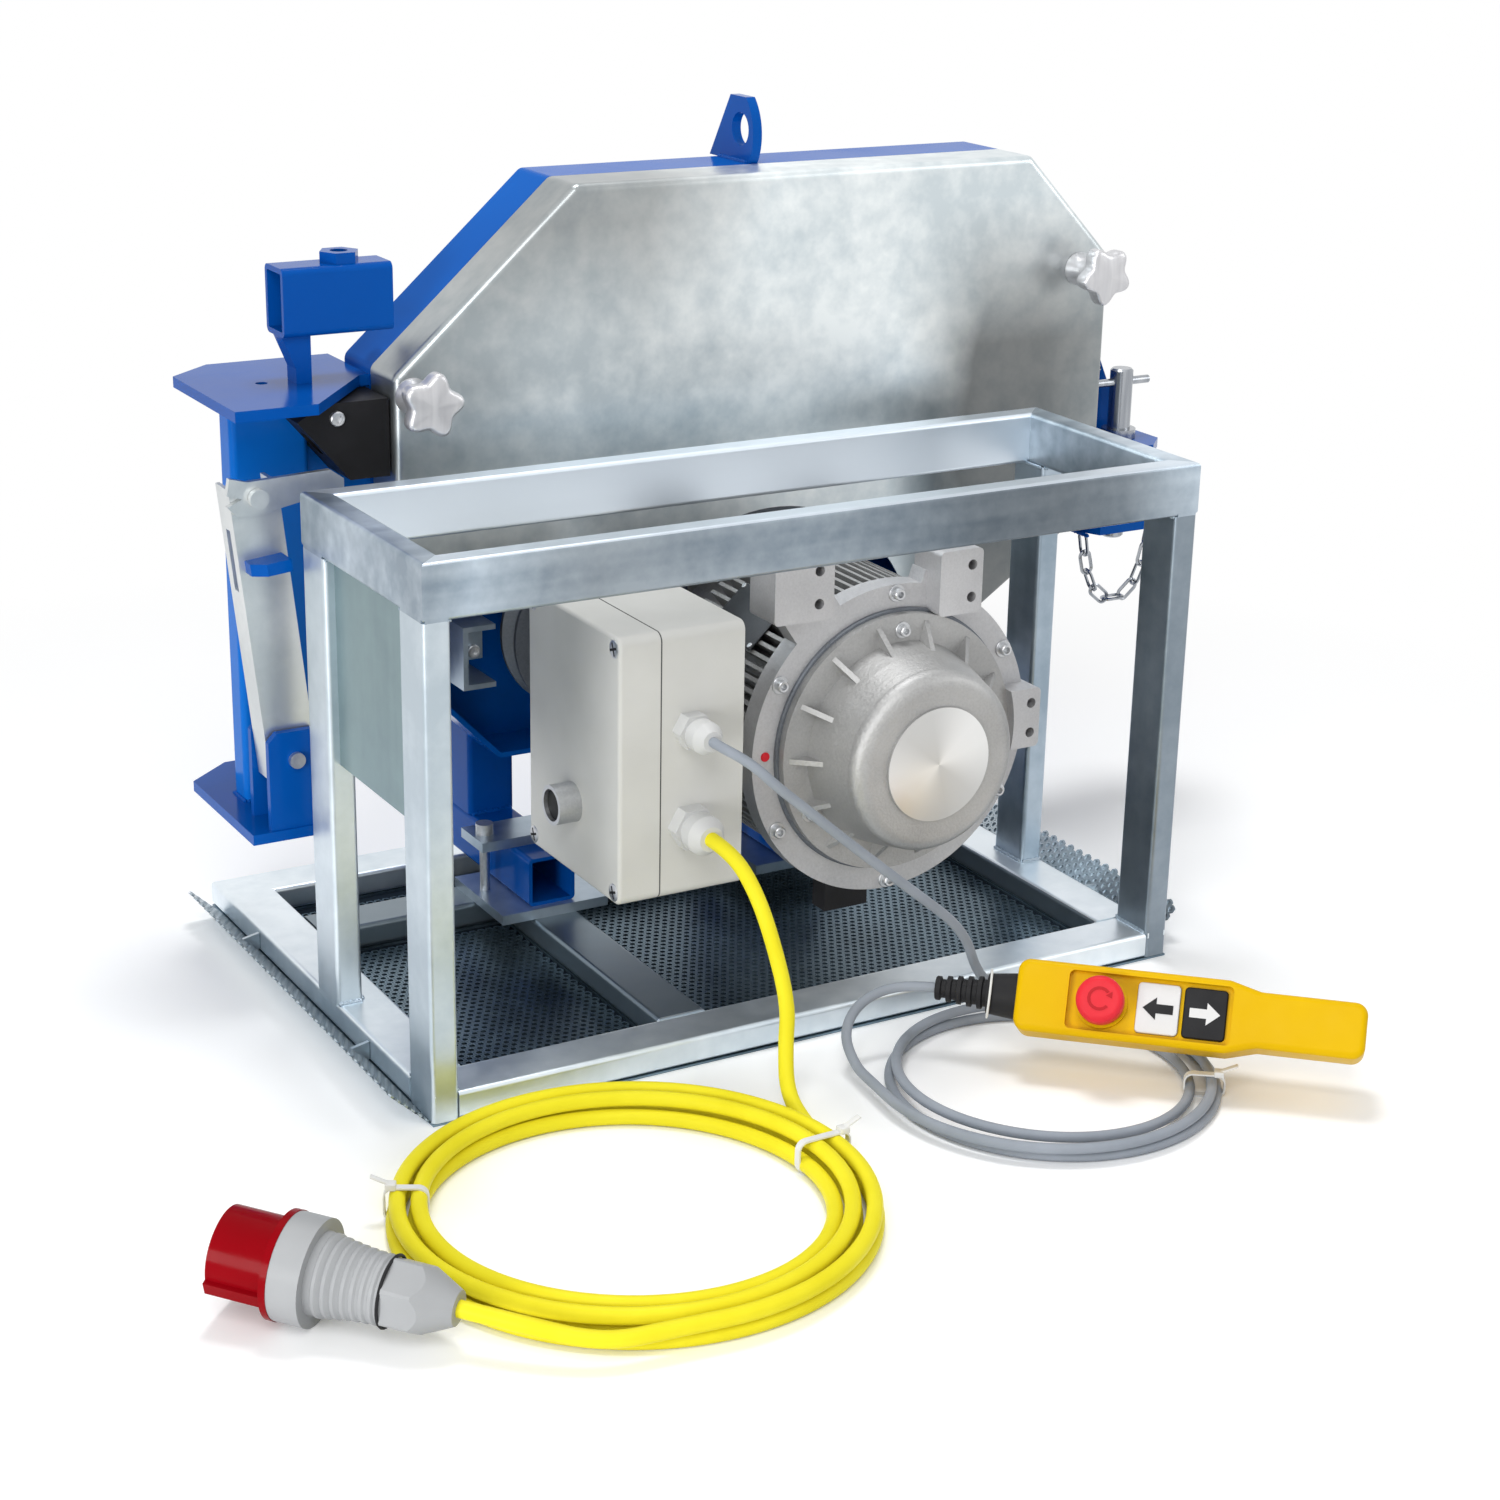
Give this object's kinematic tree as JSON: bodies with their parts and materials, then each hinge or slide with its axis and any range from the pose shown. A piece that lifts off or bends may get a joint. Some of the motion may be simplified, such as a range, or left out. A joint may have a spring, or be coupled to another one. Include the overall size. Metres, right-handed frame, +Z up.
{
  "type": "electric rope hoist",
  "caption": "Electric rope hoist: sheave housing with flange motor, control box, plug cord and pendant, clamped on a galvanised tube carrying stand with a perforated skid sheet.",
  "frame": {"origin": "middle of the stand's base on the floor, under the skid sheet", "axes": "+X along the stand to the anchor fork, +Y from the motor side to the housing, +Z up"},
  "size_m": [1.0561, 0.7819, 0.64],
  "materials": {
    "zinc": "galvanised, satin",
    "blue": "gloss enamel",
    "cast": "sand cast, bare",
    "bright": "turned, bright",
    "box_grey": "fine texture",
    "knob_grey": "fine texture",
    "gland_grey": "moulded",
    "black": "moulded",
    "rubber": "moulded",
    "sheave": "turned",
    "yellow": "moulded",
    "red": "moulded",
    "white": "moulded",
    "yellow_cable": "extruded",
    "grey_cable": "extruded"
  },
  "bodies": {
    "stand": {"base_frame": "zinc", "front_left_post": "zinc", "front_right_post": "zinc", "rear_left_post": "zinc", "rear_right_post": "zinc", "top_ring": "zinc", "side_plate": "zinc", "skid_sheet": "zinc", "left_foot": "blue", "right_foot": "blue", "foot_clamps": "zinc", "clamp_bolts": "bright", "tray": "blue", "lifting_eye": "blue", "inner_axles": "bright", "gearbox": "cast", "motor_body": "cast", "end_shield": "cast", "brake_cover": "cast", "rubber_stop": "rubber", "box_lid": "box_grey", "box_base": "box_grey", "button_collar": "bright", "cable_glands": "gland_grey", "top_plate": "blue", "bottom_plate": "blue", "lever_pin": "bright", "column": "blue", "tube_socket": "blue", "rope_guide": "black", "anchor_fork": "blue", "tether_chains": "bright", "bracket_channel": "zinc", "pendant_body": "yellow", "pendant_bellows": "rubber", "plug_body": "white", "plug_shroud": "red", "mains_coil": "yellow_cable", "mains_run": "yellow_cable", "mains_tail": "yellow_cable", "lead_coil": "grey_cable", "lead_run": "grey_cable", "lead_tail": "grey_cable"},
    "sheave": {"drive_sheave": "sheave"},
    "deflector": {"deflector_sheave": "sheave"},
    "roller_high": {"upper_roller": "bright"},
    "roller_low": {"lower_roller": "bright"},
    "rotor": {"motor_rotor": "bright"},
    "housing_cover": {"cover": "zinc"},
    "knob_left": {"left_knob": "knob_grey"},
    "knob_right": {"right_knob": "knob_grey"},
    "lever": {"tension_lever": "zinc", "lever_tab": "blue"},
    "hook": {"latch": "zinc"},
    "bolt": {"anchor_pin": "bright"},
    "reset": {"box_button": "black"},
    "stop": {"stop_button": "red"},
    "key_back": {"back_key": "white"},
    "key_forward": {"forward_key": "black"}
  },
  "joints": [
    {"name": "sheave_spin", "type": "hinge", "parent": "stand", "child": "sheave", "pos_m": [0.13, 0.076, 0.428], "axis": [0, 1, 0], "continuous": true},
    {"name": "deflector_spin", "type": "hinge", "parent": "stand", "child": "deflector", "pos_m": [-0.05, 0.076, 0.239], "axis": [0, 1, 0], "continuous": true},
    {"name": "upper_roller_spin", "type": "hinge", "parent": "stand", "child": "roller_high", "pos_m": [0.29995, 0.076, 0.41313], "axis": [0, 1, 0], "continuous": true},
    {"name": "lower_roller_spin", "type": "hinge", "parent": "stand", "child": "roller_low", "pos_m": [0.25063, 0.076, 0.30737], "axis": [0, 1, 0], "continuous": true},
    {"name": "rotor_spin", "type": "hinge", "parent": "stand", "child": "rotor", "pos_m": [0.106, -0.05, 0.188], "axis": [0, 1, 0], "continuous": true},
    {"name": "cover_pull", "type": "slide", "parent": "stand", "child": "housing_cover", "axis": [0, -1, 0], "range_m": [0, 0.045]},
    {"name": "left_knob_turn", "type": "hinge", "parent": "housing_cover", "child": "knob_left", "pos_m": [-0.203, 0.02, 0.445], "axis": [0, 1, 0], "continuous": true},
    {"name": "right_knob_turn", "type": "hinge", "parent": "housing_cover", "child": "knob_right", "pos_m": [0.393, 0.02, 0.496], "axis": [0, 1, 0], "continuous": true},
    {"name": "lever_swing", "type": "hinge", "parent": "stand", "child": "lever", "pos_m": [-0.313, 0.03, 0.19], "axis": [0, 1, 0], "range_deg": [-70, 0]},
    {"name": "latch_swing", "type": "hinge", "parent": "lever", "child": "hook", "pos_m": [-0.33391, 0.03, 0.3889], "axis": [0, 1, 0], "range_deg": [-45, 5]},
    {"name": "anchor_pin_lift", "type": "slide", "parent": "stand", "child": "bolt", "axis": [0, 0, 1], "range_m": [0, 0.1]},
    {"name": "box_button_press", "type": "slide", "parent": "stand", "child": "reset", "axis": [1, 0, 0], "range_m": [0, 0.004], "stiffness_N_per_m": 1500, "springref_m": -0.002},
    {"name": "stop_button_press", "type": "slide", "parent": "stand", "child": "stop", "axis": [0.5784, 0.6202, -0.5299], "range_m": [0, 0.005]},
    {"name": "back_key_press", "type": "slide", "parent": "stand", "child": "key_back", "axis": [0.5784, 0.6202, -0.5299], "range_m": [0, 0.003], "stiffness_N_per_m": 1200, "springref_m": -0.001},
    {"name": "forward_key_press", "type": "slide", "parent": "stand", "child": "key_forward", "axis": [0.5784, 0.6202, -0.5299], "range_m": [0, 0.003], "stiffness_N_per_m": 1200, "springref_m": -0.001}
  ],
  "couplings": [
    {"joint": "sheave_spin", "follows": "rotor_spin", "ratio": 0.0075}
  ]
}
